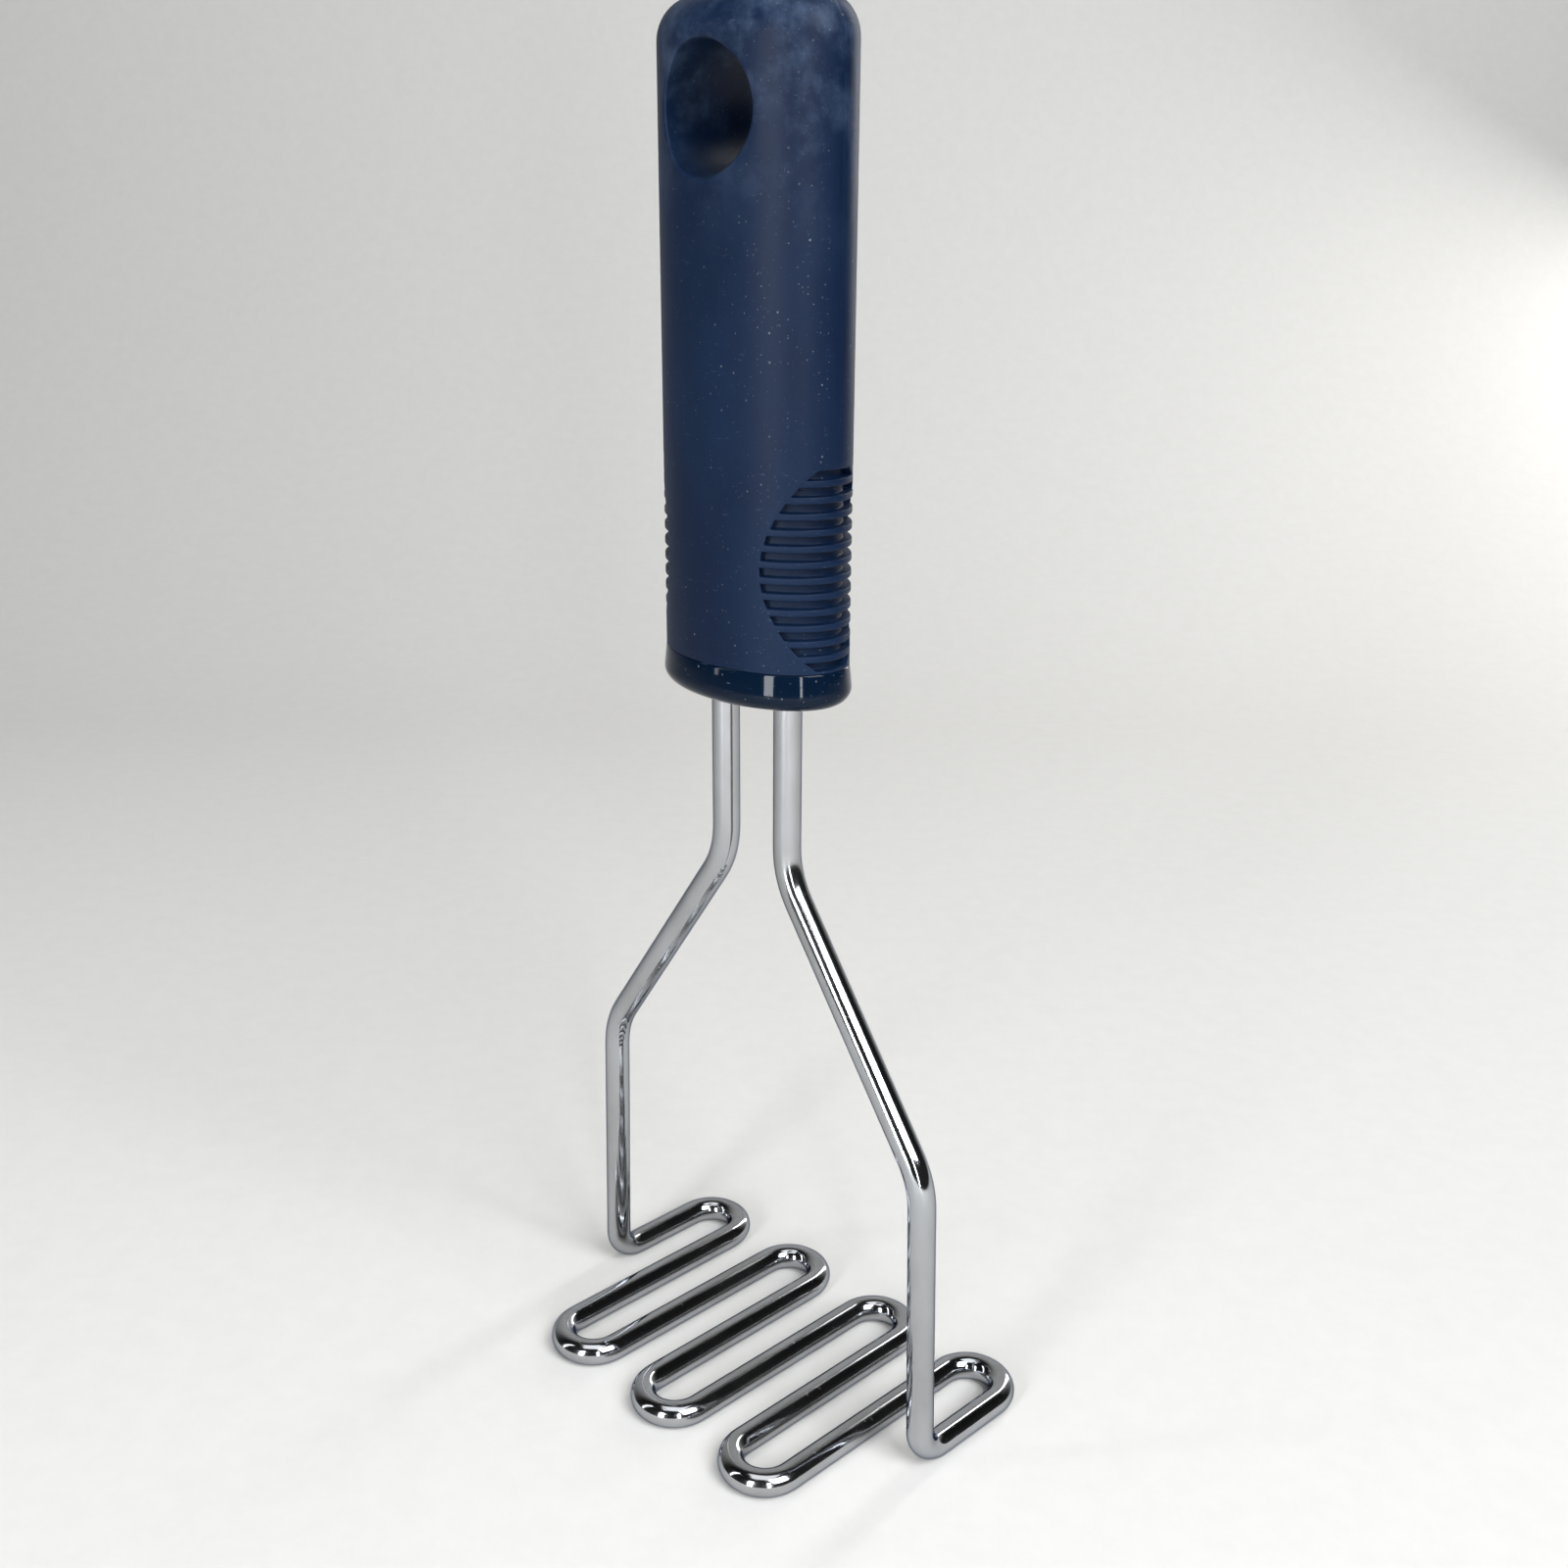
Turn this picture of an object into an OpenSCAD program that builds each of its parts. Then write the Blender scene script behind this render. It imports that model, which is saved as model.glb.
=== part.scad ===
// Wire potato masher: one bent steel rod, held in a handle of a stiff core,
// a glossy end collar and a soft rubber sleeve with finned pads and a hanging hole.
// Millimetres. The origin is on the floor under the middle of the masher, +Z runs
// up the handle, X runs across the strokes and Y along them.

/* [Wire] */
// Diameter of the steel rod
wire_d = 4.8; // [4:0.1:6]
// Radius of the rod's middle line where a leg turns into the grid
foot_bend_r = 5; // [4:0.5:8]
// Radius of the rod's middle line at the two corners of each leg
leg_bend_r = 16; // [10:1:22]
// Core left above the two wire ends
wire_stop = 13.2; // [3:0.1:30]

/* [Mashing grid] */
// Distance between neighbouring strokes, middle to middle
stroke_pitch = 12; // [10:0.1:16]
// Number of strokes side by side, counting the two half strokes
strokes = 8; // [4:2:12]
// Length of the grid along its strokes, over the bends
grid_len = 57.2; // [40:0.2:80]

/* [Legs] */
// How far each leg has come in where it starts to lean
leg_splay = 1.7; // [0.5:0.1:4]
// Height of the corner where the leg starts to lean in
lower_corner_z = 56.4; // [40:0.2:66]
// Height of the corner where the leaning leg turns upright
upper_corner_z = 101.8; // [86:0.1:115]
// Distance between the two wires where they enter the handle
wire_spacing = 15.2; // [13:0.2:16]

/* [Handle] */
// Height of the whole masher
total_h = 240; // [220:1:300]
// Height of the collar's lower face
handle_z = 133.4; // [126:0.2:145]
// Width of the rubber sleeve across the wires
grip_w = 36.6; // [33:0.2:42]
// Depth of the rubber sleeve along the hanging hole
grip_d = 23.2; // [19:0.1:28]
// Radius that rounds the sleeve's top edge
grip_top_r = 6.5; // [4:0.5:8]
// Rise of the domed top between its rounded edges
dome_rise = 1; // [0.5:0.1:2]
// Wall of rubber round the core
rubber_wall = 3; // [2.4:0.1:3.6]
// Diameter of the hanging hole
hang_hole_d = 19; // [14:0.1:23]
// Rubber between the hanging hole and the top of the handle
hang_hole_top_wall = 7.6; // [6.5:0.1:12]
// Rubber between the core and the hanging hole
hang_hole_core_wall = 5.4; // [3:0.1:10]

/* [Collar] */
// Height of the glossy collar
collar_h = 6.4; // [5:0.1:9]
// How far the collar stands out past the rubber
collar_step = 0.5; // [0.2:0.1:1]
// Radius that rounds the collar's lower edge
collar_edge_r = 2.6; // [1.5:0.1:3.5]
// Radius that rounds the collar's upper edge
collar_top_r = 0.85; // [0.4:0.05:1.4]
// Diameter of the peg that fastens the collar in the core
peg_d = 5; // [4:0.1:5.5]
// Length of the peg
peg_len = 12; // [6:1:16]

/* [Finned pads] */
// Number of grooves in each pad
grooves = 13; // [7:2:13]
// Distance between neighbouring grooves, middle to middle
groove_pitch = 2.5; // [2:0.1:3]
// Width of each groove
groove_w = 1.45; // [0.8:0.05:1.6]
// Depth of each groove
groove_depth = 1.5; // [0.6:0.1:2]
// Plain rubber left on either side of the pad's oval outline, measured across the sleeve's depth
pad_edge = 2.2; // [2.1:0.1:6]
// Distance from the middle of the last groove to the tip of the pad's oval outline
pad_tip = 1.8; // [1:0.1:3]
// Rubber left between the collar and the lowest groove
pad_foot = 0.4; // [0.4:0.1:20]

/* [Fits] */
// Play round the wire in the collar and round the peg in the core
slide_gap = 0.1; // [0.05:0.05:0.3]
// Gap that the rubber keeps from the core's sides
mould_gap = 0.05; // [0.05:0.05:0.2]

/* [Hidden] */
$fn = 64;
wire_r = wire_d / 2;

// Grid
u_bend_r = stroke_pitch / 2;
grid_x = (strokes - 1) * u_bend_r;
stroke_end_y = grid_len / 2 - wire_r - u_bend_r;

// Legs
foot_rise = lower_corner_z - wire_r;
foot_lean = atan2(leg_splay, foot_rise);
lean_x = grid_x - leg_splay - wire_spacing / 2;
lean_z = upper_corner_z - lower_corner_z;
lean = atan2(lean_x, lean_z);
lower_turn = lean - foot_lean;
lower_cut = leg_bend_r * tan(lower_turn / 2);
upper_cut = leg_bend_r * tan(lean / 2);
foot_len = norm([leg_splay, foot_rise]) - foot_bend_r - lower_cut;
lean_len = norm([lean_x, lean_z]) - lower_cut - upper_cut;

// Handle
grip_z = handle_z + collar_h;
grip_h = total_h - grip_z;
hole_z = total_h - hang_hole_top_wall - hang_hole_d / 2;
core_top_z = hole_z - hang_hole_d / 2 - hang_hole_core_wall;
wire_top_z = core_top_z - wire_stop;
wire_grip_len = wire_top_z - grip_z;
core_w = grip_w - 2 * rubber_wall;
core_d = grip_d - 2 * rubber_wall;
core_top_r = 4;
// How far in the dome's flat middle starts, as a share of the depth left by the rounded edge
dome_share = 0.45;
dome_inset = grip_top_r + dome_share * (grip_d / 2 - grip_top_r);

// Rings over the rod's seams
seam_w = 0.3;
seam_gap = 0.1;
seam_step = 0.02;

// Ring grooves that lock the wire ends in the core, placed as shares of the length held
lock_depth = 0.4;
lock_w = 3;
lock_shares = [0.22, 0.73];

// Pads
pad_reach = (grooves - 1) / 2 * groove_pitch;
pad_w = grip_d - 2 * pad_edge;
pad_h = 2 * (pad_reach + pad_tip);
pad_z = grip_z + pad_foot + groove_w / 2 + pad_reach;

// Fineness of the curves, and how far cuts run past the faces they open
arc_steps = 5;
oval_sides = 48;
past = 1;

// Points along an arc, from one angle to another
function arc(centre, radius, from, to) =
    [for (i = [0 : arc_steps])
        let (angle = from + (to - from) * i / arc_steps)
        centre + radius * [cos(angle), sin(angle)]];

// ---- wire ----

// A straight run of rod going up, with its children at its far end
module run(length) {
    cylinder(h = length, d = wire_d);
    translate([0, 0, length]) children();
}

// A bend that starts going up and turns toward -X, with its children at its far end.
// It stops a hair short of them, inside a thin ring that joins the two into one solid.
module bend(radius, turn) {
    short_turn = turn - seam_gap / radius * 180 / PI;
    translate([-radius, 0, 0]) {
        rotate([90, 0, 0])
            rotate_extrude(angle = short_turn) translate([radius, 0]) circle(d = wire_d);
        rotate([0, -turn, 0]) translate([radius, 0, 0]) {
            cylinder(h = seam_w, d = wire_d + seam_step, center = true);
            children();
        }
    }
}

// One leg, from the bend it stands on to the end hidden in the core
module leg() {
    translate([grid_x, 0, wire_r]) rotate([0, -foot_lean, 0]) translate([0, 0, foot_bend_r]) {
        run(foot_len)
            bend(leg_bend_r, lower_turn)
            run(lean_len)
            rotate([0, 0, 180]) bend(leg_bend_r, lean)
            wire_end(wire_top_z - upper_corner_z - upper_cut);
        rotate([180, 0, -90]) bend(foot_bend_r, 90);
    }
}

// The straight end of a leg, with the ring grooves that lock it in the core
module wire_end(length) {
    difference() {
        cylinder(h = length, d = wire_d);
        for (share = lock_shares)
            translate([0, 0, length - (1 - share) * wire_grip_len]) lock_ring();
    }
}

module lock_ring() {
    rotate_extrude() translate([wire_r - lock_depth, 0]) square([lock_depth + past, lock_w]);
}

// A straight stroke of the grid, the first and the last of which start at a foot
module stroke(i) {
    start_y = i == 0 || i == strokes - 1 ? foot_bend_r : -stroke_end_y;
    translate([-grid_x + i * stroke_pitch, start_y, wire_r])
        rotate([-90, 0, 0]) cylinder(h = stroke_end_y - start_y, d = wire_d);
}

// The half turn after stroke i, at the back for even strokes and at the front for odd ones
module u_turn(i) {
    side = i % 2 == 0 ? 1 : -1;
    translate([-grid_x + (i + 0.5) * stroke_pitch, side * stroke_end_y, wire_r])
        rotate([0, 0, side > 0 ? 0 : 180])
        rotate_extrude(angle = 180) translate([u_bend_r, 0]) circle(d = wire_d);
}

module masher_wire() {
    color("silver") {
        leg();
        mirror([1, 0, 0]) leg();
        for (i = [0 : strokes - 1]) stroke(i);
        for (i = [0 : strokes - 2]) u_turn(i);
    }
}

// ---- handle ----

// Corners of an oval, width w along X and depth d along Y
function oval(w, d) =
    [for (i = [0 : oval_sides - 1])
        let (angle = 360 * i / oval_sides)
        [w / 2 * cos(angle), d / 2 * sin(angle)]];

// A straight oval post standing on z = 0
module oval_post(w, d, h) {
    linear_extrude(h) polygon(oval(w, d));
}

// A closed solid, oval in plan, whose side follows steps of [inset, height] going up
module oval_shell(w, d, steps) {
    n = oval_sides;
    last = len(steps) - 1;
    points = [for (step = steps) each [for (p = oval(w - 2 * step.x, d - 2 * step.x)) [p.x, p.y, step.y]]];
    sides = [for (ring = [0 : last - 1], i = [0 : n - 1])
        let (low = ring * n + i, next = ring * n + (i + 1) % n)
        each [[low, low + n, next], [next, low + n, next + n]]];
    bottom = [for (i = [0 : n - 1]) i];
    top = [for (i = [n - 1 : -1 : 0]) last * n + i];
    polyhedron(points, concat(sides, [bottom, top]));
}

// Steps that round a top edge of the given radius, ending at the given height
function top_edge(radius, top) = arc([radius, top - radius], radius, 180, 90);

// Steps that round a lower edge standing on z = 0
function lower_edge(radius) = arc([radius, radius], radius, 270, 180);

// The two holes that the wire ends pass through
module wire_holes(d, from_z, to_z) {
    for (side = [-1, 1])
        translate([side * wire_spacing / 2, 0, from_z]) cylinder(h = to_z - from_z, d = d);
}

module end_collar() {
    color("midnightblue") difference() {
        union() {
            translate([0, 0, handle_z])
                oval_shell(grip_w + 2 * collar_step, grip_d + 2 * collar_step,
                    concat(lower_edge(collar_edge_r), top_edge(collar_top_r, collar_h)));
            translate([0, 0, grip_z - past]) cylinder(h = peg_len + past, d = peg_d);
        }
        wire_holes(wire_d + 2 * slide_gap, handle_z - past, grip_z + past);
    }
}

module handle_core() {
    color("dimgray") difference() {
        translate([0, 0, grip_z])
            oval_shell(core_w, core_d, concat([[0, 0]], top_edge(core_top_r, core_top_z - grip_z)));
        difference() {
            wire_holes(wire_d, grip_z - past, wire_top_z);
            for (side = [-1, 1], share = lock_shares)
                translate([side * wire_spacing / 2, 0, grip_z + share * wire_grip_len]) lock_ring();
        }
        translate([0, 0, grip_z - past])
            cylinder(h = peg_len + past + slide_gap, d = peg_d + 2 * slide_gap);
    }
}

// Grooves of both finned pads, as deep as the rubber is cut
module pad_grooves() {
    difference() {
        intersection() {
            for (i = [0 : grooves - 1])
                translate([0, 0, pad_z - pad_reach + i * groove_pitch])
                    cube([grip_w + 2 * past, grip_d, groove_w], center = true);
            translate([-grip_w, 0, pad_z]) rotate([0, 90, 0]) oval_post(pad_h, pad_w, 2 * grip_w);
        }
        translate([0, 0, grip_z])
            oval_post(grip_w - 2 * groove_depth, grip_d - 2 * groove_depth, grip_h);
    }
}

module grip_sleeve() {
    color("darkslateblue") difference() {
        translate([0, 0, grip_z])
            oval_shell(grip_w, grip_d, concat(
                [[0, 0]], top_edge(grip_top_r, grip_h - dome_rise), [[dome_inset, grip_h]]));
        translate([0, 0, grip_z - past])
            oval_post(core_w + 2 * mould_gap, core_d + 2 * mould_gap, core_top_z - grip_z + past);
        translate([0, grip_d, hole_z]) rotate([90, 0, 0]) cylinder(h = 2 * grip_d, d = hang_hole_d);
        pad_grooves();
    }
}

masher_wire();
end_collar();
handle_core();
grip_sleeve();
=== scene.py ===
# %% [markdown]
# # A wire potato masher
# One bent steel rod stands on a zigzag grid and ends inside a soft rubber handle.
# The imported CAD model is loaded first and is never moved. Each piece made here takes
# its place from that model, so that nothing has to be fitted by eye.

# %% Load the frame
import math

import bmesh
import bpy
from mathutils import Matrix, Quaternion, Vector


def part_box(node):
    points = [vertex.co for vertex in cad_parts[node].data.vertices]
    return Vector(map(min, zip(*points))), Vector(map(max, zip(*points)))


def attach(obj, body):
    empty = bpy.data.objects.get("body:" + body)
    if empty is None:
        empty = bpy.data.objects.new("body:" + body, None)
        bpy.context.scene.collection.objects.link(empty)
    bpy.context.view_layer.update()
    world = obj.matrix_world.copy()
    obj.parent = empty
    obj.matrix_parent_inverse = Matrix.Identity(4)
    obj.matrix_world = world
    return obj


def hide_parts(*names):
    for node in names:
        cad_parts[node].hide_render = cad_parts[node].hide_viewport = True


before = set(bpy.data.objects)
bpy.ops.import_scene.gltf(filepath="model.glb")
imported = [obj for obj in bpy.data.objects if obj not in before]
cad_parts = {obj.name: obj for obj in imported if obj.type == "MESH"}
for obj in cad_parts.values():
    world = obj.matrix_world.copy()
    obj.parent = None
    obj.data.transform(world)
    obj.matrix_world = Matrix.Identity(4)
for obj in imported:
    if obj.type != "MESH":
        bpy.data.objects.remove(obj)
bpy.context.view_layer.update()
print("CAD nodes:", sorted(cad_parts))

# %% [markdown]
# Blender works in metres, but a hand tool is easier to think about in millimetres,
# so sizes below are in millimetres and `MM` turns them into metres. An edit-mode
# operator acts on whatever is selected, so small helpers clear the selection and
# pick the part of a mesh that the next operator should work on.

# %% Helpers for choosing what to work on
MM = 0.001
SAME_PLACE = 0.01


def deselect_objects():
    """Leaves no object selected, so that the next operator touches only its own."""
    if bpy.context.object and bpy.context.object.mode != "OBJECT":
        bpy.ops.object.mode_set(mode="OBJECT")
    bpy.ops.object.select_all(action="DESELECT")


def choose(piece):
    """Makes a piece the active one and the only one selected."""
    deselect_objects()
    bpy.context.view_layer.objects.active = piece
    piece.select_set(True)


def edit(piece):
    """Opens a piece in edit mode, with no other piece selected."""
    choose(piece)
    bpy.ops.object.mode_set(mode="EDIT")


def place(item):
    """The middle of an edge or a face, in millimetres."""
    return sum((v.co for v in item.verts), Vector()) / len(item.verts) / MM


def pick(kind, test):
    """Selects the faces or edges of the open mesh that pass a test."""
    bpy.ops.mesh.select_mode(type=kind)
    bpy.ops.mesh.select_all(action="DESELECT")
    mesh = bmesh.from_edit_mesh(bpy.context.object.data)
    for item in mesh.faces if kind == "FACE" else mesh.edges:
        if test(item):
            item.select_set(True)
    bmesh.update_edit_mesh(bpy.context.object.data)


def at_height(z):
    """A test for edges that lie level at a height."""
    return lambda edge: all(abs(v.co.z / MM - z) < SAME_PLACE for v in edge.verts)


# %% Helpers for shaping and finishing
MERGE_GAP = 0.002


def move(rule, everything=False):
    """Gives each selected vertex the place that a rule works out from its old one."""
    mesh = bmesh.from_edit_mesh(bpy.context.object.data)
    for v in mesh.verts:
        if v.select or everything:
            v.co = Vector(rule(v.co / MM)) * MM
    bmesh.update_edit_mesh(bpy.context.object.data)


def apply_modifier(piece, kind, **settings):
    """Adds a modifier with its settings and applies it."""
    choose(piece)
    modifier = piece.modifiers.new(kind.title(), kind)
    for name, value in settings.items():
        setattr(modifier, name, value)
    bpy.ops.object.modifier_apply(modifier=modifier.name)


def finish_piece(piece, name, smooth_angle, node):
    """Names a finished piece, smooths its shading and lets it stand for its CAD node."""
    edit(piece)
    bpy.ops.mesh.select_all(action="SELECT")
    bpy.ops.mesh.remove_doubles(threshold=MERGE_GAP * MM)
    bpy.ops.mesh.normals_make_consistent(inside=False)
    bpy.ops.object.mode_set(mode="OBJECT")
    piece.name = piece.data.name = name
    bpy.ops.object.shade_smooth_by_angle(angle=math.radians(smooth_angle))
    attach(piece, "root")
    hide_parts(node)
    print(name, "has", len(piece.data.polygons), "faces")


# %% [markdown]
# ## The camera
# The masher is seen from a little above its grip's middle, with one narrow side of the
# grip turned towards the viewer on the right. The camera comes first, because every
# later choice of detail depends on how large a piece looks from here.

# %% Camera
CAMERA_PLACE = (201.9, -187.8, 213.4)
CAMERA_TURN = 46.2
CAMERA_DIP = 19.4
CAMERA_TILT = -0.3
LENS_MM = 39.5

deselect_objects()
bpy.ops.object.camera_add(location=Vector(CAMERA_PLACE) * MM)
camera = bpy.context.object
camera.name = "Camera"
camera.rotation_euler = (
    math.radians(90 - CAMERA_DIP), math.radians(CAMERA_TILT), math.radians(CAMERA_TURN))
camera.data.lens = LENS_MM
camera.data.clip_start = 10 * MM
bpy.context.scene.camera = camera
print("camera", CAMERA_PLACE, "turned", CAMERA_TURN, "degrees")

# %% [markdown]
# ## The steel rod
# The real rod is one piece of round wire, bent cold over pegs. The same can be done to
# a circle in edit mode: extrude it for a straight run, and spin it round a point for a
# bend. That keeps one even tube from end to end, which matters here, because polished
# steel shows every flat and every joint in its reflections.

# %% Sizes of the rod
ROD_D = 4.8
FOOT_BEND_R = 5.0
LEG_BEND_R = 16.0
LEG_SPLAY = 1.7
LOWER_CORNER_Z = 56.4
UPPER_CORNER_Z = 101.8
WIRE_SPACING = 15.2
STROKES = 8

rod_low, rod_high = (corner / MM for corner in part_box("masher_wire"))
pitch = (rod_high.x - rod_low.x - ROD_D) / (STROKES - 1)
grid_x = (STROKES - 1) * pitch / 2
stroke_end_y = rod_high.y - ROD_D / 2 - pitch / 2

foot_rise = LOWER_CORNER_Z - ROD_D / 2
foot_lean = math.atan2(LEG_SPLAY, foot_rise)
lean_x = grid_x - LEG_SPLAY - WIRE_SPACING / 2
lean_z = UPPER_CORNER_Z - LOWER_CORNER_Z
lean = math.atan2(lean_x, lean_z)
lower_cut = LEG_BEND_R * math.tan((lean - foot_lean) / 2)
upper_cut = LEG_BEND_R * math.tan(lean / 2)

foot_len = math.hypot(LEG_SPLAY, foot_rise) - FOOT_BEND_R - lower_cut
lean_len = math.hypot(lean_x, lean_z) - lower_cut - upper_cut
end_len = rod_high.z - UPPER_CORNER_Z - upper_cut
print(f"pitch {pitch:.2f} mm, legs lean {math.degrees(lean):.1f} degrees")

# %% [markdown]
# The rod's path is a list of runs and bends. A small class remembers where the rod's
# end is and where it points, so each step only says how far to go or how much to turn.
# The spin tool needs a centre: it lies one bend radius from the end, square to both the
# heading and the axis. With no window open, spin turns the left-handed way.

# %% A rod that is bent step by step
RING_SIDES = 40
BEND_STEP_DEG = 4
RUN_STEP = 5.0


class Rod:
    """A tube whose last ring stays selected, so that the next step carries it on."""

    def __init__(self, start, heading):
        deselect_objects()
        bpy.ops.mesh.primitive_circle_add(vertices=RING_SIDES, radius=ROD_D / 2 * MM)
        self.piece = bpy.context.object
        edit(self.piece)
        bpy.ops.mesh.select_all(action="SELECT")
        bpy.ops.transform.translate(value=Vector(start) * MM)
        self.end, self.heading = Vector(start), Vector(heading)

    def run(self, length):
        """Extrudes the rod's end straight on."""
        steps = max(1, round(length / RUN_STEP))
        for _ in range(steps):
            bpy.ops.mesh.extrude_region_move(
                TRANSFORM_OT_translate={"value": self.heading * (length / steps) * MM})
        self.end += self.heading * length

    def bend(self, radius, turn, axis):
        """Spins the rod's end round a point that lies beside it."""
        axis = Vector(axis).normalized()
        centre = self.end + axis.cross(self.heading) * radius
        steps = max(2, round(math.degrees(turn) / BEND_STEP_DEG))
        bpy.ops.mesh.spin(steps=steps, angle=-turn, center=centre * MM, axis=axis)
        rotation = Quaternion(axis, turn)
        self.end = centre + rotation @ (self.end - centre)
        self.heading = rotation @ self.heading


# %% Bend the rod
ALONG_Y = Vector((0, 1, 0))
UP = Vector((0, 0, 1))
quarter, half = math.pi / 2, math.pi

rod = Rod((-WIRE_SPACING / 2, 0, rod_high.z), -UP)
rod.run(end_len)
rod.bend(LEG_BEND_R, lean, ALONG_Y)
rod.run(lean_len)
rod.bend(LEG_BEND_R, lean - foot_lean, -ALONG_Y)
rod.run(foot_len)
rod.bend(FOOT_BEND_R, quarter, rod.heading.cross(ALONG_Y))
rod.run(stroke_end_y - FOOT_BEND_R)
for turn in range(STROKES - 1):
    rod.bend(pitch / 2, half, -UP if turn % 2 == 0 else UP)
    last = turn == STROKES - 2
    rod.run(stroke_end_y - FOOT_BEND_R if last else 2 * stroke_end_y)
leg_up = Vector((-math.sin(foot_lean), 0, math.cos(foot_lean)))
rod.bend(FOOT_BEND_R, quarter, rod.heading.cross(leg_up))
rod.run(foot_len)
rod.bend(LEG_BEND_R, lean - foot_lean, -ALONG_Y)
rod.run(lean_len)
rod.bend(LEG_BEND_R, lean, ALONG_Y)
rod.run(end_len)
print("the rod ends at", [round(c, 2) for c in rod.end])

# %% Close the two cut ends
pick("EDGE", lambda edge: edge.is_boundary)
bpy.ops.mesh.fill_holes(sides=RING_SIDES)
finish_piece(rod.piece, "steel_rod", 40, "masher_wire")

# %% [markdown]
# ## The rubber grip
# The grip is moulded rubber: an oval column with a domed top, a hanging hole and, on
# each narrow side, an oval pad of thin fins. It is easiest to start from a plain round
# tube, cut the rings where the grooves begin and end, push the grooves in, and only
# then press the tube into its oval. The columns of the tube bend to follow the pad's
# outline, so every groove ends cleanly on it.

# %% Sizes of the grip
grip_low, grip_high = (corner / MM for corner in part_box("grip_sleeve"))
half_w, half_d = grip_high.x, grip_high.y
GRIP_TOP_R = 6.5
GRIP_TOP_ARC = 70
DOME_RISE = 1.0
COLUMNS = 160
column_angle = 2 * math.pi / COLUMNS

GROOVES = 13
GROOVE_PITCH = 2.5
GROOVE_W = 1.45
GROOVE_DEPTH = 1.5
PAD_FOOT = 0.4
PAD_TIP = 1.8
PAD_W = 18.8
PAD_COLUMNS = 12

side_top = grip_high.z - DOME_RISE - GRIP_TOP_R
pad_reach = (GROOVES - 1) / 2 * GROOVE_PITCH
pad_z = grip_low.z + PAD_FOOT + GROOVE_W / 2 + pad_reach
pad_half_h = pad_reach + PAD_TIP
grooved_half_h = pad_reach + GROOVE_W / 2

HOLE_D = 19.0
HOLE_TOP_WALL = 7.6
hole_z = grip_high.z - HOLE_TOP_WALL - HOLE_D / 2
print(f"pad middle {pad_z:.1f} mm, hole middle {hole_z:.1f} mm above the floor")

# %% [markdown]
# The tube needs rings only where its shape changes: two for each groove, wide steps
# along the plain middle, close ones round the hanging hole, and equal turns of the arc
# where the top edge rounds over.

# %% Heights of the tube's rings
PLAIN_STEP = 2.0
HOLE_STEP = 1.0
ABOVE_PAD = 1.5
BELOW_HOLE = 13.0
TOP_STEP_DEG = 7


def spread(low, high, step):
    """Even heights from low up to, but not including, high."""
    steps = round((high - low) / step)
    return [low + (high - low) * i / steps for i in range(steps)]


def top_arc_z(degrees):
    """The height of a point on the arc that rounds the top edge."""
    return side_top + GRIP_TOP_R * math.sin(math.radians(degrees))


groove_middles = [pad_z - pad_reach + i * GROOVE_PITCH for i in range(GROOVES)]
hole_from = hole_z - BELOW_HOLE
ring_heights = [z + side * GROOVE_W / 2 for z in groove_middles for side in (-1, 1)]
ring_heights += spread(pad_z + grooved_half_h + ABOVE_PAD, hole_from, PLAIN_STEP)
ring_heights += spread(hole_from, side_top, HOLE_STEP)
ring_heights += [top_arc_z(degrees) for degrees in range(0, GRIP_TOP_ARC, TOP_STEP_DEG)]
grip_edge_z = top_arc_z(GRIP_TOP_ARC)
print(len(ring_heights), "rings between the bottom and the top edge")

# %% A plain round tube with rings at those heights
deselect_objects()
bpy.ops.mesh.primitive_cylinder_add(
    vertices=COLUMNS, radius=half_w * MM, depth=(grip_edge_z - grip_low.z) * MM,
    end_fill_type="NOTHING")
grip = bpy.context.object
edit(grip)
bpy.ops.mesh.select_all(action="SELECT")
bpy.ops.transform.translate(value=(0, 0, (grip_edge_z + grip_low.z) / 2 * MM))
for height in ring_heights:
    bpy.ops.mesh.select_all(action="SELECT")
    bpy.ops.mesh.bisect(plane_co=(0, 0, height * MM), plane_no=(0, 0, 1))
print("tube from", round(grip_low.z, 1), "to", round(grip_edge_z, 1), "mm")


# %% Push the grooves in
def side_angle(point):
    """The angle from the nearer narrow side, from minus to plus a quarter turn."""
    return math.atan2(point.y, abs(point.x))


def in_groove(face):
    """Whether a face of the tube lies in a groove of either pad."""
    middle = place(face)
    near_side = abs(side_angle(middle)) < PAD_COLUMNS * column_angle
    return near_side and any(abs(middle.z - z) < GROOVE_W / 2 for z in groove_middles)


pick("FACE", in_groove)
bpy.ops.mesh.extrude_region_move()
floor_scale = (half_w - GROOVE_DEPTH) / half_w
bpy.ops.transform.resize(value=(floor_scale, floor_scale, 1), center_override=(0, 0, 0))
print("grooves pushed in on both sides")

# %% [markdown]
# Pressing the tube into its oval is one rule for all its vertices. The distance that a
# vertex lies inside the round tube stays its depth under the oval surface. Near the
# pad, the twelfth column from the side is swung onto the pad's outline and the others
# spread out evenly on either side of it. Above the pad, the two columns beside the very
# middle are drawn close to it, and the middle one is sunk a little: that is the fine
# line which the two halves of the mould leave. A bevel then softens the fins' edges.

# %% Press the tube into its oval
SEAM_HALF_W = 0.13
SEAM_DEPTH = 0.05
SETTLE_LEN = 9.0
FIN_ROUNDING = 0.17
FIN_STEPS = 3
FIN_EDGE_DEG = 58
pad_top = pad_z + grooved_half_h
free_angle = PAD_COLUMNS * column_angle


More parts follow.
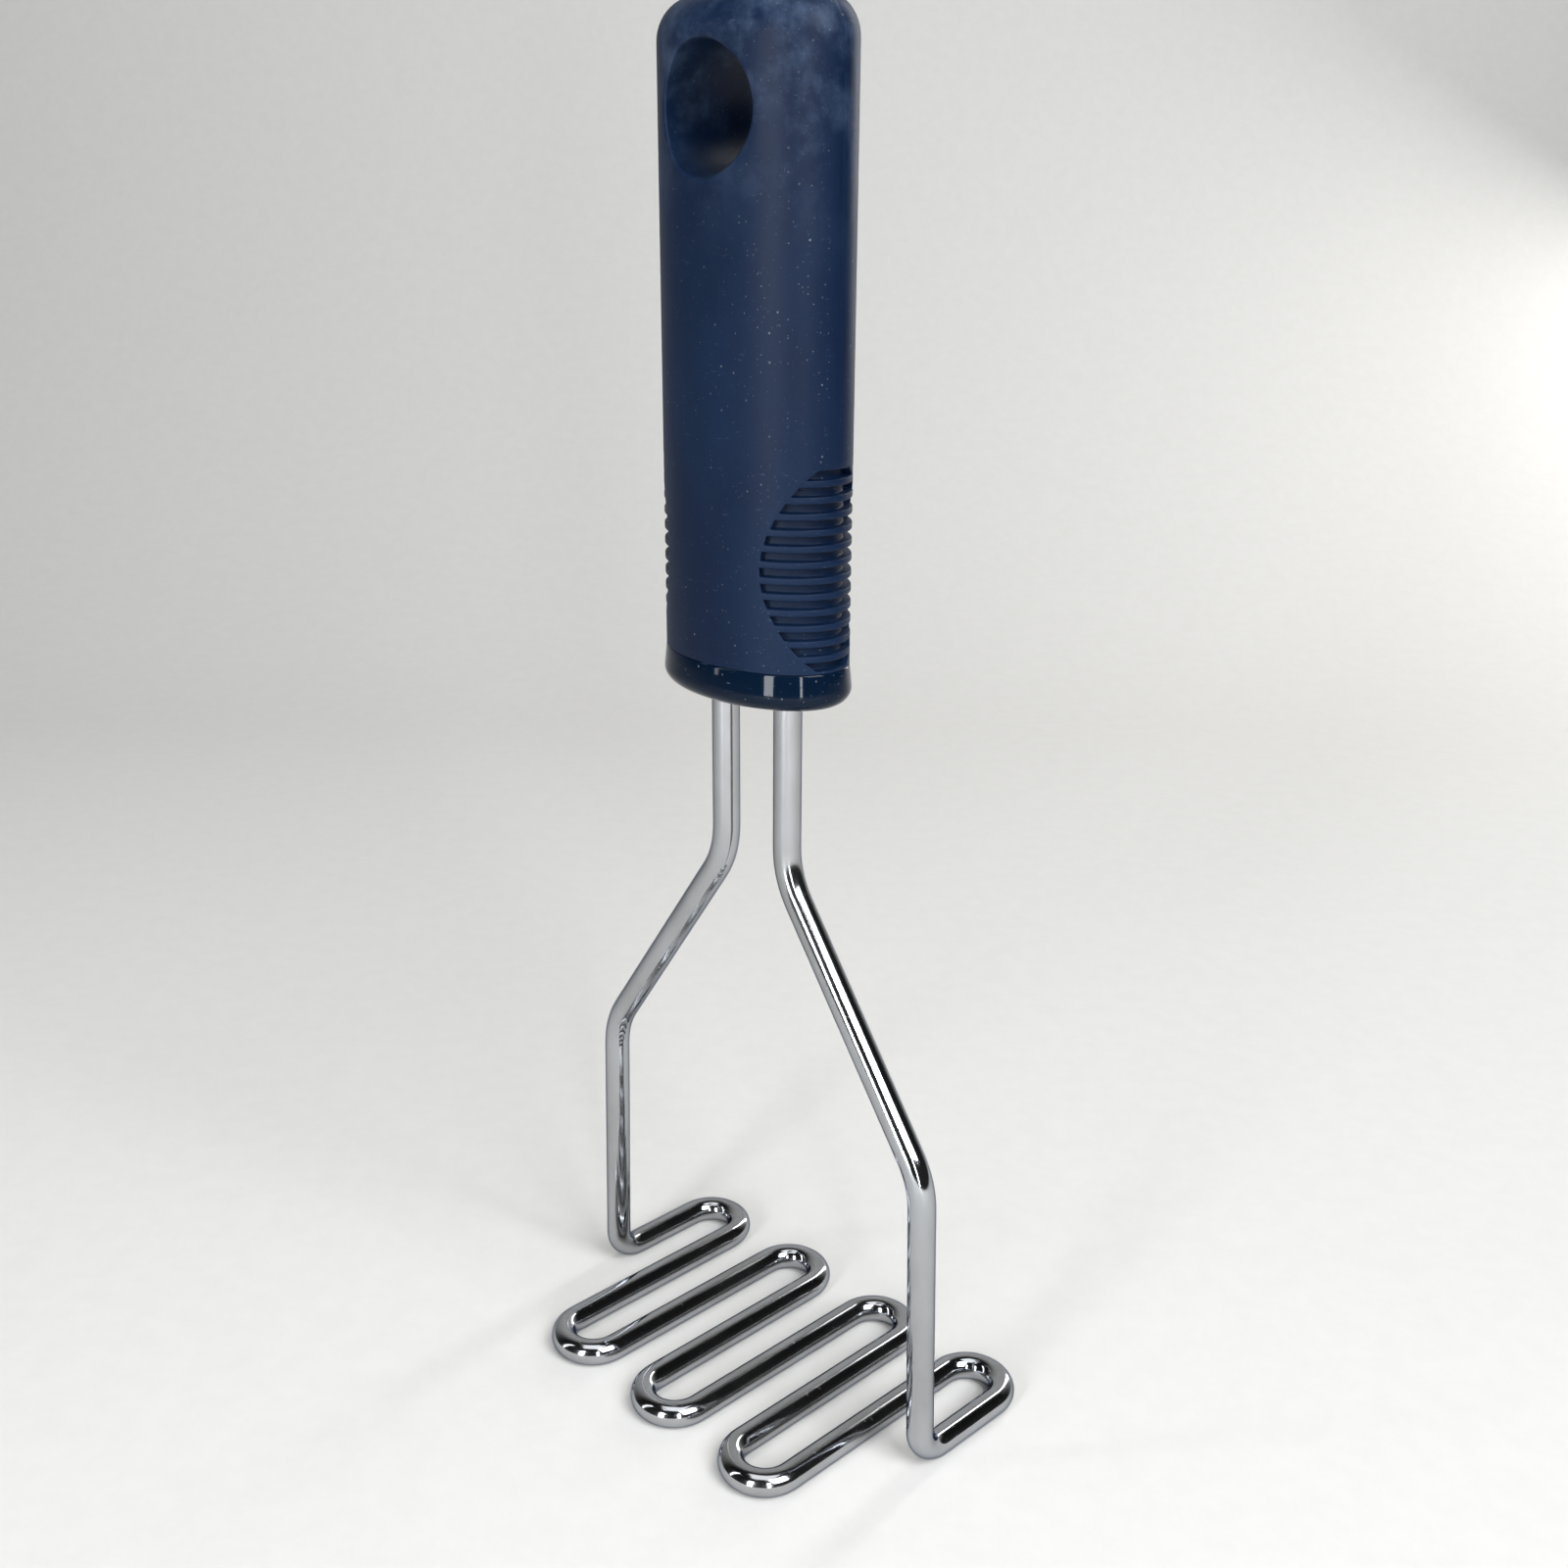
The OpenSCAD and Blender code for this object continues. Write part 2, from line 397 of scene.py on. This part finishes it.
def outline_angle(z):
    """Where the pad's outline crosses a height, as an angle from the narrow side."""
    rise = min(abs(z - pad_z), grooved_half_h)
    half_width = PAD_W / 2 * math.sqrt(1 - (rise / pad_half_h) ** 2)
    angle = math.asin(half_width / half_d)
    settle = min(1, max(0, (z - pad_top) / SETTLE_LEN))
    return angle + (free_angle - angle) * settle


def top_inset(z):
    """How far the rounded top edge has come in at a height."""
    rise = min(max(0, z - side_top), GRIP_TOP_R)
    return GRIP_TOP_R - math.sqrt(GRIP_TOP_R ** 2 - rise ** 2)


def press_oval(point):
    """Gives a vertex of the round tube its place on the oval."""
    depth = half_w - math.hypot(point.x, point.y) + top_inset(point.z)
    angle = side_angle(point)
    column = round(abs(angle) / column_angle)
    outline = outline_angle(point.z)
    on_pad = point.z < pad_top + SAME_PLACE
    if column == 0:
        swung = 0
        depth += 0 if on_pad else SEAM_DEPTH
    elif column == 1 and not on_pad:
        swung = SEAM_HALF_W / half_d
    elif column <= PAD_COLUMNS:
        swung = outline * column / PAD_COLUMNS
    else:
        share = (abs(angle) - free_angle) / (quarter - free_angle)
        swung = outline + (quarter - outline) * share
    x = math.copysign((half_w - depth) * math.cos(swung), point.x)
    y = math.copysign((half_d - depth) * math.sin(swung), point.y)
    return x, y, point.z


move(press_oval, everything=True)
apply_modifier(
    grip, "BEVEL", width=FIN_ROUNDING * MM, segments=FIN_STEPS, limit_method="ANGLE",
    angle_limit=math.radians(FIN_EDGE_DEG), use_clamp_overlap=False)
print("fins rounded:", len(grip.data.polygons), "faces")

# %% [markdown]
# The hanging hole goes through both broad faces. A square patch of faces is deleted on
# each, its edge is drawn in step by step until it is a circle on the oval surface, and
# the last steps roll over a rounded lip. Bridging the two circles makes the wall.

# %% Open the hanging hole
PATCH_HALF = 12.2
EDGE_MARGIN = 1.5
LIP_R = 0.6
LIP_STEPS = 5
BLEND_STEPS = 3
WALL_CUTS = 6
hole_r = HOLE_D / 2


def oval_y(x, z):
    """Depth of the oval surface over a point, measured from the middle."""
    w, d = half_w - top_inset(z), half_d - top_inset(z)
    return d * math.sqrt(max(0, 1 - (x / w) ** 2))


edit(grip)
pick("FACE", lambda face: abs(place(face).x) < PATCH_HALF
     and abs(place(face).z - hole_z) < PATCH_HALF)
bpy.ops.mesh.delete(type="FACE")


def around_hole(edge):
    """Whether an edge borders a patch that was deleted for the hanging hole."""
    middle = place(edge)
    return edge.is_boundary and abs(middle.z - hole_z) < PATCH_HALF + EDGE_MARGIN


def draw_in(radius, drop=0.0, share=1.0):
    """Carries the open edge inwards, towards a circle that lies under the surface."""
    def rule(point):
        across, up = point.x, point.z - hole_z
        reach = math.hypot(across, up)
        x = across + (radius * across / reach - across) * share
        z = hole_z + up + (radius * up / reach - up) * share
        return x, math.copysign(oval_y(x, z) - drop, point.y), z
    bpy.ops.mesh.extrude_region_move()
    move(rule)


pick("EDGE", around_hole)
for step in range(BLEND_STEPS):
    draw_in(hole_r + LIP_R, share=1 / (BLEND_STEPS - step))
for step in range(1, LIP_STEPS + 1):
    roll = quarter * step / LIP_STEPS
    draw_in(hole_r + LIP_R * (1 - math.sin(roll)), drop=LIP_R * (1 - math.cos(roll)))
bpy.ops.mesh.bridge_edge_loops(number_cuts=WALL_CUTS)
print("hanging hole opened")

# %% [markdown]
# The top is closed by rings that shrink towards the middle while they climb the dome.
# Under the grip, an oval pocket takes the stiff core, as on the real moulding.

# %% Close the dome and sink the pocket
DOME_RINGS = 6
RUBBER_WALL = 3.0
core_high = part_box("handle_core")[1] / MM

pick("EDGE", at_height(grip_edge_z))
dome_rise = grip_high.z - grip_edge_z
for ring in range(1, DOME_RINGS):
    before, now = 1 - (ring - 1) / DOME_RINGS, 1 - ring / DOME_RINGS
    climb = dome_rise * (before ** 2 - now ** 2)
    bpy.ops.mesh.extrude_region_move(TRANSFORM_OT_translate={"value": (0, 0, climb * MM)})
    bpy.ops.transform.resize(value=(now / before, now / before, 1))
bpy.ops.mesh.extrude_region_move(
    TRANSFORM_OT_translate={"value": (0, 0, dome_rise / DOME_RINGS ** 2 * MM)})
bpy.ops.mesh.merge(type="CENTER")

pick("EDGE", at_height(grip_low.z))
bpy.ops.mesh.extrude_region_move()
bpy.ops.transform.resize(
    value=((half_w - RUBBER_WALL) / half_w, (half_d - RUBBER_WALL) / half_d, 1))
bpy.ops.mesh.extrude_region_move(
    TRANSFORM_OT_translate={"value": (0, 0, (core_high.z - grip_low.z) * MM)})
bpy.ops.mesh.edge_face_add()
finish_piece(grip, "rubber_grip", 50, "grip_sleeve")

# %% [markdown]
# ## The glossy collar
# The collar is a low oval ring of hard plastic, a little wider than the rubber, with a
# soft lower edge and sides that lean in towards the grip. A cylinder is bevelled on both
# rims and pressed to its oval. The hidden peg is joined on, and the two wire holes are
# cut, by booleans, which leave crisp flat faces.

# %% Sizes of the collar
collar_low, collar_high = (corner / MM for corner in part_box("end_collar"))
collar_top = grip_low.z
collar_h = collar_top - collar_low.z
COLLAR_SIDES = 144
COLLAR_LOWER_R = 2.6
COLLAR_UPPER_R = 0.4
LOWER_STEPS = 8
UPPER_STEPS = 5
COLLAR_TAPER = 0.72
TAPER_FROM = 0.3
TAPER_CURVE = 1.1
TAPER_RINGS = (0.5, 0.6, 0.7)
HOLE_PLAY = 0.1
PEG_D = 5.0
PAST = 1.0
print(f"collar {collar_h:.1f} mm high, peg up to {collar_high.z:.1f} mm")


# %% Helpers for cylinders and booleans
def add_cylinder(radius, low, high, x=0.0, sides=64):
    """An upright cylinder between two heights, with its place in its mesh."""
    deselect_objects()
    bpy.ops.mesh.primitive_cylinder_add(vertices=sides, radius=radius * MM, depth=(high - low) * MM)
    bpy.ops.transform.translate(value=Vector((x, 0, (low + high) / 2)) * MM)
    bpy.ops.object.transform_apply(location=True, rotation=False, scale=False)
    return bpy.context.object


def combine(piece, tool, operation):
    """Joins a tool to a piece or cuts it out, and then removes the tool."""
    apply_modifier(piece, "BOOLEAN", object=tool, operation=operation, solver="EXACT")
    bpy.data.objects.remove(tool)


def press_collar(point):
    """Presses the round collar into its oval and draws it in a little towards the top."""
    climb = max(0, (point.z - collar_low.z) / collar_h - TAPER_FROM)
    drawn_in = COLLAR_TAPER * climb ** TAPER_CURVE
    depth = collar_high.x - math.hypot(point.x, point.y) + drawn_in
    angle = math.atan2(point.y, point.x)
    return ((collar_high.x - depth) * math.cos(angle),
            (collar_high.y - depth) * math.sin(angle), point.z)


# %% Bevel the collar and press it to its oval
collar = add_cylinder(collar_high.x, collar_low.z, collar_top, sides=COLLAR_SIDES)
edit(collar)
pick("EDGE", at_height(collar_low.z))
bpy.ops.mesh.bevel(offset=COLLAR_LOWER_R * MM, segments=LOWER_STEPS)
pick("EDGE", at_height(collar_top))
bpy.ops.mesh.bevel(offset=COLLAR_UPPER_R * MM, segments=UPPER_STEPS)
for share in TAPER_RINGS:
    bpy.ops.mesh.select_all(action="SELECT")
    bpy.ops.mesh.bisect(
        plane_co=(0, 0, (collar_low.z + collar_h * share) * MM), plane_no=(0, 0, 1))
move(press_collar, everything=True)
print("collar pressed to", round(2 * collar_high.x, 1), "by", round(2 * collar_high.y, 1), "mm")

# %% Peg and wire holes
combine(collar, add_cylinder(PEG_D / 2, collar_top - PAST, collar_high.z), "UNION")
for side in (-1, 1):
    wire_hole = add_cylinder(ROD_D / 2 + HOLE_PLAY, collar_low.z - PAST, collar_top + PAST,
                             x=side * WIRE_SPACING / 2)
    combine(collar, wire_hole, "DIFFERENCE")
finish_piece(collar, "gloss_collar", 40, "end_collar")

# %% [markdown]
# ## Marks that the finishes share
# Nothing that has been used is one even colour. Four effects appear on more than one
# piece: pale dust that has settled in specks, thin scratches, soft smears, and the fine
# grain of a mould. Each is a node group, made once, with inputs for its size and
# amount. A group gives out a mask or a height, and each material decides what it does.

# %% Tools for wiring nodes
def add_node(tree, kind, **settings):
    """Adds a node, with sockets set by name and everything else set on the node."""
    node = tree.nodes.new(kind)
    for name, value in settings.items():
        if hasattr(node, name):
            setattr(node, name, value)
        else:
            node.inputs[name.replace("_", " ")].default_value = value
    return node


def join(tree, *links):
    """Joins pairs of an output socket and an input socket."""
    for output, entry in links:
        tree.links.new(output, entry)


def start_group(name, inputs, output):
    """Opens a node group with number inputs and one number output."""
    tree = bpy.data.node_groups.new(name, "ShaderNodeTree")
    for entry, value in inputs.items():
        socket = tree.interface.new_socket(entry, in_out="INPUT", socket_type="NodeSocketFloat")
        socket.default_value = value
    tree.interface.new_socket(output, in_out="OUTPUT", socket_type="NodeSocketFloat")
    given = tree.nodes.new("NodeGroupInput").outputs
    result = tree.nodes.new("NodeGroupOutput").inputs[output]
    spot = tree.nodes.new("ShaderNodeTexCoord").outputs["Object"]
    return tree, given, result, spot


def feed(tree, value, entry):
    """Links a socket to an input, or sets the input to a plain value."""
    if isinstance(value, bpy.types.NodeSocket):
        tree.links.new(value, entry)
    else:
        entry.default_value = value


def math_node(tree, operation, first, second, clamp=False):
    """A math node whose inputs are sockets or numbers. Returns its output."""
    node = tree.nodes.new("ShaderNodeMath")
    node.operation, node.use_clamp = operation, clamp
    feed(tree, first, node.inputs[0])
    feed(tree, second, node.inputs[1])
    return node.outputs[0]


def product(tree, *factors, clamp=False):
    """Multiplies two or more sockets or numbers. Only the last step is clamped."""
    *early, last = factors[1:]
    value = factors[0]
    for factor in early:
        value = math_node(tree, "MULTIPLY", value, factor)
    return math_node(tree, "MULTIPLY", value, last, clamp)


def ramp(tree, value, low, high, out_low=0.0, out_high=1.0):
    """A smooth step of a value between two limits. Returns its output."""
    node = add_node(tree, "ShaderNodeMapRange", interpolation_type="SMOOTHSTEP",
                    From_Min=low, From_Max=high, To_Min=out_low, To_Max=out_high)
    tree.links.new(value, node.inputs["Value"])
    return node.outputs["Result"]


def noise(tree, vector, scale, detail=4.0, roughness=0.5):
    """A noise texture over a vector. Scale is a number or a socket."""
    node = add_node(tree, "ShaderNodeTexNoise", Detail=detail, Roughness=roughness)
    tree.links.new(vector, node.inputs["Vector"])
    feed(tree, scale, node.inputs["Scale"])
    return node.outputs["Fac"]


# %% Dust that settles in specks
dust, given, result, spot = start_group("dust_specks", {"Scale": 700.0, "Amount": 0.5}, "Mask")
cells = add_node(dust, "ShaderNodeTexVoronoi", Randomness=1.0)
join(dust, (spot, cells.inputs["Vector"]), (given["Scale"], cells.inputs["Scale"]))
speck = ramp(dust, cells.outputs["Distance"], 0.06, 0.2, 1.0, 0.0)
chosen = add_node(dust, "ShaderNodeSeparateColor")
join(dust, (cells.outputs["Color"], chosen.inputs["Color"]))
few = ramp(dust, chosen.outputs["Red"], 0.78, 0.97)
patchy = ramp(dust, noise(dust, spot, 45.0), 0.25, 0.7)
join(dust, (product(dust, speck, few, patchy, given["Amount"], clamp=True), result))
print("dust group has", len(dust.nodes), "nodes")

# %% Thin scratches that run in many directions
scratches, given, result, spot = start_group(
    "thin_scratches", {"Scale": 60.0, "Amount": 0.5}, "Mask")
total = None
for turn_x, turn_z, stretch in ((20, 35, 14), (75, -50, 18), (130, 80, 11)):
    turned = add_node(scratches, "ShaderNodeMapping")
    turned.inputs["Rotation"].default_value = (math.radians(turn_x), 0, math.radians(turn_z))
    turned.inputs["Scale"].default_value = (1, stretch, stretch)
    join(scratches, (spot, turned.inputs["Vector"]))
    lines = noise(scratches, turned.outputs["Vector"], given["Scale"], detail=2.0)
    line = ramp(scratches, lines, 0.70, 0.76)
    total = line if total is None else math_node(scratches, "MAXIMUM", total, line)
join(scratches, (product(scratches, total, given["Amount"], clamp=True), result))
print("scratch group has", len(scratches.nodes), "nodes")

# %% Soft smears from hands and cloths
smears, given, result, spot = start_group("soft_smears", {"Scale": 30.0, "Amount": 0.5}, "Mask")
warp = add_node(smears, "ShaderNodeMapping")
warp.inputs["Scale"].default_value = (1, 1, 0.5)
join(smears, (spot, warp.inputs["Vector"]))
cloud = ramp(smears, noise(smears, warp.outputs["Vector"], given["Scale"], 5.0, 0.62), 0.35, 0.7)
join(smears, (product(smears, cloud, given["Amount"], clamp=True), result))
print("smear group has", len(smears.nodes), "nodes")

# %% The fine grain of a mould
grain, given, result, spot = start_group("mould_grain", {"Scale": 2500.0, "Amount": 1.0}, "Height")
height = noise(grain, spot, given["Scale"], 3.0, 0.6)
join(grain, (product(grain, height, given["Amount"]), result))
print("shared effects:", [tree.name for tree in bpy.data.node_groups])

# %% [markdown]
# Every finish starts from the Principled shader. Values that are the same all over are
# set on its own sockets, and what varies over the surface is wired in from the effects.

# %% Tools for building a finish
def start_material(name, **shader_values):
    """A material with its Principled shader, whose own sockets take the given values."""
    material = bpy.data.materials.new(name)
    material.use_nodes = True
    shader = material.node_tree.nodes["Principled BSDF"]
    for entry, value in shader_values.items():
        shader.inputs[entry.replace("_", " ")].default_value = value
    spot = material.node_tree.nodes.new("ShaderNodeTexCoord").outputs["Object"]
    return material, material.node_tree, shader.inputs, spot


def effect(tree, group, scale, amount):
    """Places a shared effect in a material with its own scale and amount."""
    node = tree.nodes.new("ShaderNodeGroup")
    node.node_tree = group
    node.inputs["Scale"].default_value = scale
    node.inputs["Amount"].default_value = amount
    return node.outputs[0]


def blend(tree, mask, first, second):
    """Mixes two colours by a mask. Each is a colour or a socket."""
    node = add_node(tree, "ShaderNodeMix", data_type="RGBA")
    tree.links.new(mask, node.inputs["Factor"])
    for entry, colour in ((node.inputs[6], first), (node.inputs[7], second)):
        feed(tree, (*colour, 1) if isinstance(colour, tuple) else colour, entry)
    return node.outputs[2]


def set_roughness(tree, shader, base, *weighted_masks):
    """Sets the roughness to a base value plus each mask times its weight."""
    total = base
    for mask, weight in weighted_masks:
        total = math_node(tree, "ADD", product(tree, mask, weight), total)
    join(tree, (total, shader["Roughness"]))


def add_bump(tree, shader, height, strength, distance_mm):
    """Feeds a height through a Bump node to the shader's Normal."""
    bump = add_node(tree, "ShaderNodeBump", Strength=strength, Distance=distance_mm * MM)
    join(tree, (height, bump.inputs["Height"]), (bump.outputs["Normal"], shader["Normal"]))


def give(piece, material):
    """Puts one material in all of a piece's slots."""
    deselect_objects()
    if not piece.material_slots:
        piece.data.materials.append(material)
    for material_slot in piece.material_slots:
        material_slot.material = material


# %% [markdown]
# ## Polished steel
# The rod is stainless steel, tumbled and polished until it mirrors the room, so its
# look is nearly all reflection. Fine handling scratches and a faint film from washing
# up break the mirror here and there. They change roughness more than colour.

# %% Steel finish
STEEL = (0.45, 0.46, 0.48)
FILMED_STEEL = (0.37, 0.37, 0.375)
STEEL_RIM = (0.30, 0.33, 0.40, 1)

steel, tree, shader, spot = start_material("washed_steel", Metallic=1.0, Specular_Tint=STEEL_RIM)
film = effect(tree, smears, scale=55, amount=1)
marks = effect(tree, scratches, scale=90, amount=0.8)
join(tree, (blend(tree, film, STEEL, FILMED_STEEL), shader["Base Color"]))
set_roughness(tree, shader, 0.07, (film, 0.09), (marks, 0.16))
ripple = noise(tree, spot, 260)
add_bump(tree, shader, math_node(tree, "ADD", ripple, marks), strength=0.10, distance_mm=0.05)
give(rod.piece, steel)
print("steel finish has", len(tree.nodes), "nodes")

# %% [markdown]
# ## Navy rubber
# The grip's rubber is a very dark navy with a satin bloom. It scatters light softly,
# turns a little paler where the surface has chalked near the hanging hole and the top,
# and holds specks of dust and a few pale scuffs. Under it all lies the mould's grain.

# %% Rubber finish
NAVY = (0.0014, 0.0072, 0.0250)
WORN_NAVY = (0.0030, 0.0122, 0.0360)
CHALK = (0.085, 0.125, 0.200)
DUST = (0.42, 0.44, 0.46)
BLOOM_BELOW_HOLE = 24

rubber, tree, shader, spot = start_material("navy_rubber", Specular_IOR_Level=0.13)
worn = effect(tree, smears, scale=38, amount=1)
scuffs = effect(tree, scratches, scale=120, amount=0.9)
split = add_node(tree, "ShaderNodeSeparateXYZ")
join(tree, (spot, split.inputs["Vector"]))
high = ramp(tree, split.outputs["Z"], (hole_z - BLOOM_BELOW_HOLE) * MM, grip_high.z * MM)
cloudy = ramp(tree, noise(tree, spot, 120, detail=6, roughness=0.65), 0.42, 0.72)
bloom = product(tree, high, cloudy, 0.35)

colour = blend(tree, worn, NAVY, WORN_NAVY)
colour = blend(tree, bloom, colour, CHALK)
colour = blend(tree, product(tree, scuffs, 0.12), colour, CHALK)
colour = blend(tree, effect(tree, dust, scale=900, amount=0.3), colour, DUST)
colour = blend(tree, effect(tree, dust, scale=2000, amount=0.4), colour, DUST)
join(tree, (colour, shader["Base Color"]))
set_roughness(tree, shader, 0.44, (worn, 0.10), (bloom, 0.25))
mould_texture = effect(tree, grain, scale=2200, amount=1)
add_bump(tree, shader, mould_texture, strength=0.22, distance_mm=0.08)
give(grip, rubber)
print("rubber finish has", len(tree.nodes), "nodes")

# %% [markdown]
# ## Glossy collar plastic
# The collar is the same navy in hard, polished plastic. Its smoothness gives the sharp
# window-like highlights, and rubbing against drawers has left hair-fine marks in it.

# %% Collar finish
GLOSS_NAVY = (0.0015, 0.0060, 0.0160)

gloss, tree, shader, spot = start_material("gloss_navy", Specular_IOR_Level=0.15)
marks = effect(tree, scratches, scale=110, amount=1)
film = effect(tree, smears, scale=70, amount=1)
colour = blend(tree, product(tree, marks, 0.35), GLOSS_NAVY, CHALK)
colour = blend(tree, effect(tree, dust, scale=900, amount=0.5), colour, DUST)
join(tree, (colour, shader["Base Color"]))
set_roughness(tree, shader, 0.04, (marks, 0.25), (film, 0.03))
ripple = noise(tree, spot, 180)
add_bump(tree, shader, math_node(tree, "ADD", ripple, marks), strength=0.12, distance_mm=0.06)
give(collar, gloss)
print("collar finish has", len(tree.nodes), "nodes")

# %% [markdown]
# ## The hidden core
# The core stays as the CAD made it, because its shape is right and it is out of sight.
# It still gets a true finish: plain dark grey moulded plastic, matte, with mould grain.

# %% Core finish
CORE_GREY = (0.035, 0.038, 0.044)
FLOWED_GREY = (0.055, 0.058, 0.064)

core_plastic, tree, shader, spot = start_material("core_moulding", Specular_IOR_Level=0.4)
flow = effect(tree, smears, scale=45, amount=1)
join(tree, (blend(tree, flow, CORE_GREY, FLOWED_GREY), shader["Base Color"]))
set_roughness(tree, shader, 0.5, (flow, 0.15))
mould_texture = effect(tree, grain, scale=1600, amount=1)
add_bump(tree, shader, mould_texture, strength=0.3, distance_mm=0.08)
give(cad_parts["handle_core"], core_plastic)
print("finishes:", [material.name for material in (steel, rubber, gloss, core_plastic)])

# %% [markdown]
# ## Floor and light
# The floor is plain and pale, and it sweeps up behind the masher like a roll of studio
# paper, so there is no hard horizon. The sizes here are in metres.

# %% Sweep of paper
SWEEP_W = 8
SWEEP_FRONT = 4
SWEEP_BACK = 0.9
SWEEP_H = 2.4
SWEEP_R = 0.5
SWEEP_STEPS = 24
PAPER = (0.615, 0.60, 0.575)
PALE_PAPER = (0.635, 0.62, 0.595)


def at_fold(edge):
    """A test for the edge where the floor meets the upright sheet."""
    return all(v.co.y > SWEEP_BACK - MM and v.co.z < MM for v in edge.verts)


deselect_objects()
bpy.ops.mesh.primitive_plane_add(size=1)
sweep = bpy.context.object
sweep.name = "paper_sweep"
edit(sweep)
bpy.ops.mesh.select_all(action="SELECT")
bpy.ops.transform.resize(value=(SWEEP_W, SWEEP_FRONT + SWEEP_BACK, 1))
bpy.ops.transform.translate(value=(0, (SWEEP_BACK - SWEEP_FRONT) / 2, 0))
pick("EDGE", at_fold)
bpy.ops.mesh.extrude_region_move(TRANSFORM_OT_translate={"value": (0, 0, SWEEP_H)})
pick("EDGE", at_fold)
bpy.ops.mesh.bevel(offset=SWEEP_R, segments=SWEEP_STEPS)
bpy.ops.object.mode_set(mode="OBJECT")
bpy.ops.object.shade_smooth()
sweep.rotation_euler.z = math.radians(CAMERA_TURN)

paper, tree, shader, spot = start_material("pale_paper", Roughness=0.75)
fibres = ramp(tree, noise(tree, spot, 160, detail=8, roughness=0.7), 0.3, 0.7)
join(tree, (blend(tree, fibres, PAPER, PALE_PAPER), shader["Base Color"]))
give(sweep, paper)
print("paper sweep", SWEEP_W, "m wide")

# %% [markdown]
# Steel and gloss show whatever stands round them. One large panel at the right lights
# the grip, two narrow ones in front draw the window frame that the collar mirrors, and
# thin strips at the side and the back edge the rod. The room is bright at the horizon
# and darker above, which gives the steel its dark streaks.

# %% Soft panels of light
AIM = Vector((0, 0, 0.12))
WHITE = (1, 1, 1)
CEILING_WHITE = (0.96, 0.98, 1)
DAYLIGHT = (0.94, 0.97, 1)
SKY = (0.92, 0.96, 1)


def add_panel(name, turn, height, distance, size, watts, tint):
    """A soft panel that faces the masher, at a turn counted from the camera's side."""
    bearing = math.radians(CAMERA_TURN - 90 + turn)
    spot = Vector((math.cos(bearing) * distance, math.sin(bearing) * distance, height))
    deselect_objects()
    bpy.ops.object.light_add(type="AREA", location=spot)
    panel = bpy.context.object
    panel.name = name
    panel.rotation_euler = (AIM - spot).to_track_quat("-Z", "Y").to_euler()
    panel.data.shape = "RECTANGLE"
    panel.data.size, panel.data.size_y = size
    panel.data.energy, panel.data.color = watts, tint
    print(name, "gives", watts, "W")


add_panel("big_window", 38, height=0.8, distance=0.8, size=(0.6, 0.7), watts=14, tint=DAYLIGHT)
add_panel("frame_left", -32, height=0.27, distance=0.75, size=(0.13, 0.5), watts=4.4, tint=SKY)
add_panel("frame_right", 9, height=0.27, distance=0.75, size=(0.05, 0.5), watts=1.9, tint=SKY)
add_panel("side_strip", -80, height=0.45, distance=0.8, size=(0.05, 0.8), watts=1, tint=DAYLIGHT)
add_panel("ceiling", -10, height=1.6, distance=0.3, size=(1, 1), watts=6, tint=CEILING_WHITE)
add_panel("back_strip", 140, height=0.5, distance=0.8, size=(0.12, 0.8), watts=2.5, tint=WHITE)

# %% Light of the room
HORIZON_LIGHT = 0.62
UPPER_LIGHT = 0.24

room = bpy.data.worlds.new("studio_room")
bpy.context.scene.world = room
room.use_nodes = True
tree = room.node_tree
direction = tree.nodes.new("ShaderNodeTexCoord").outputs["Generated"]
split = tree.nodes.new("ShaderNodeSeparateXYZ")
join(tree, (direction, split.inputs["Vector"]))
brightness = ramp(tree, split.outputs["Z"], 0.05, 0.6, HORIZON_LIGHT, UPPER_LIGHT)
join(tree, (brightness, tree.nodes["Background"].inputs["Strength"]))
bpy.context.scene.view_settings.view_transform = "Standard"
print("room light from", HORIZON_LIGHT, "down to", UPPER_LIGHT)
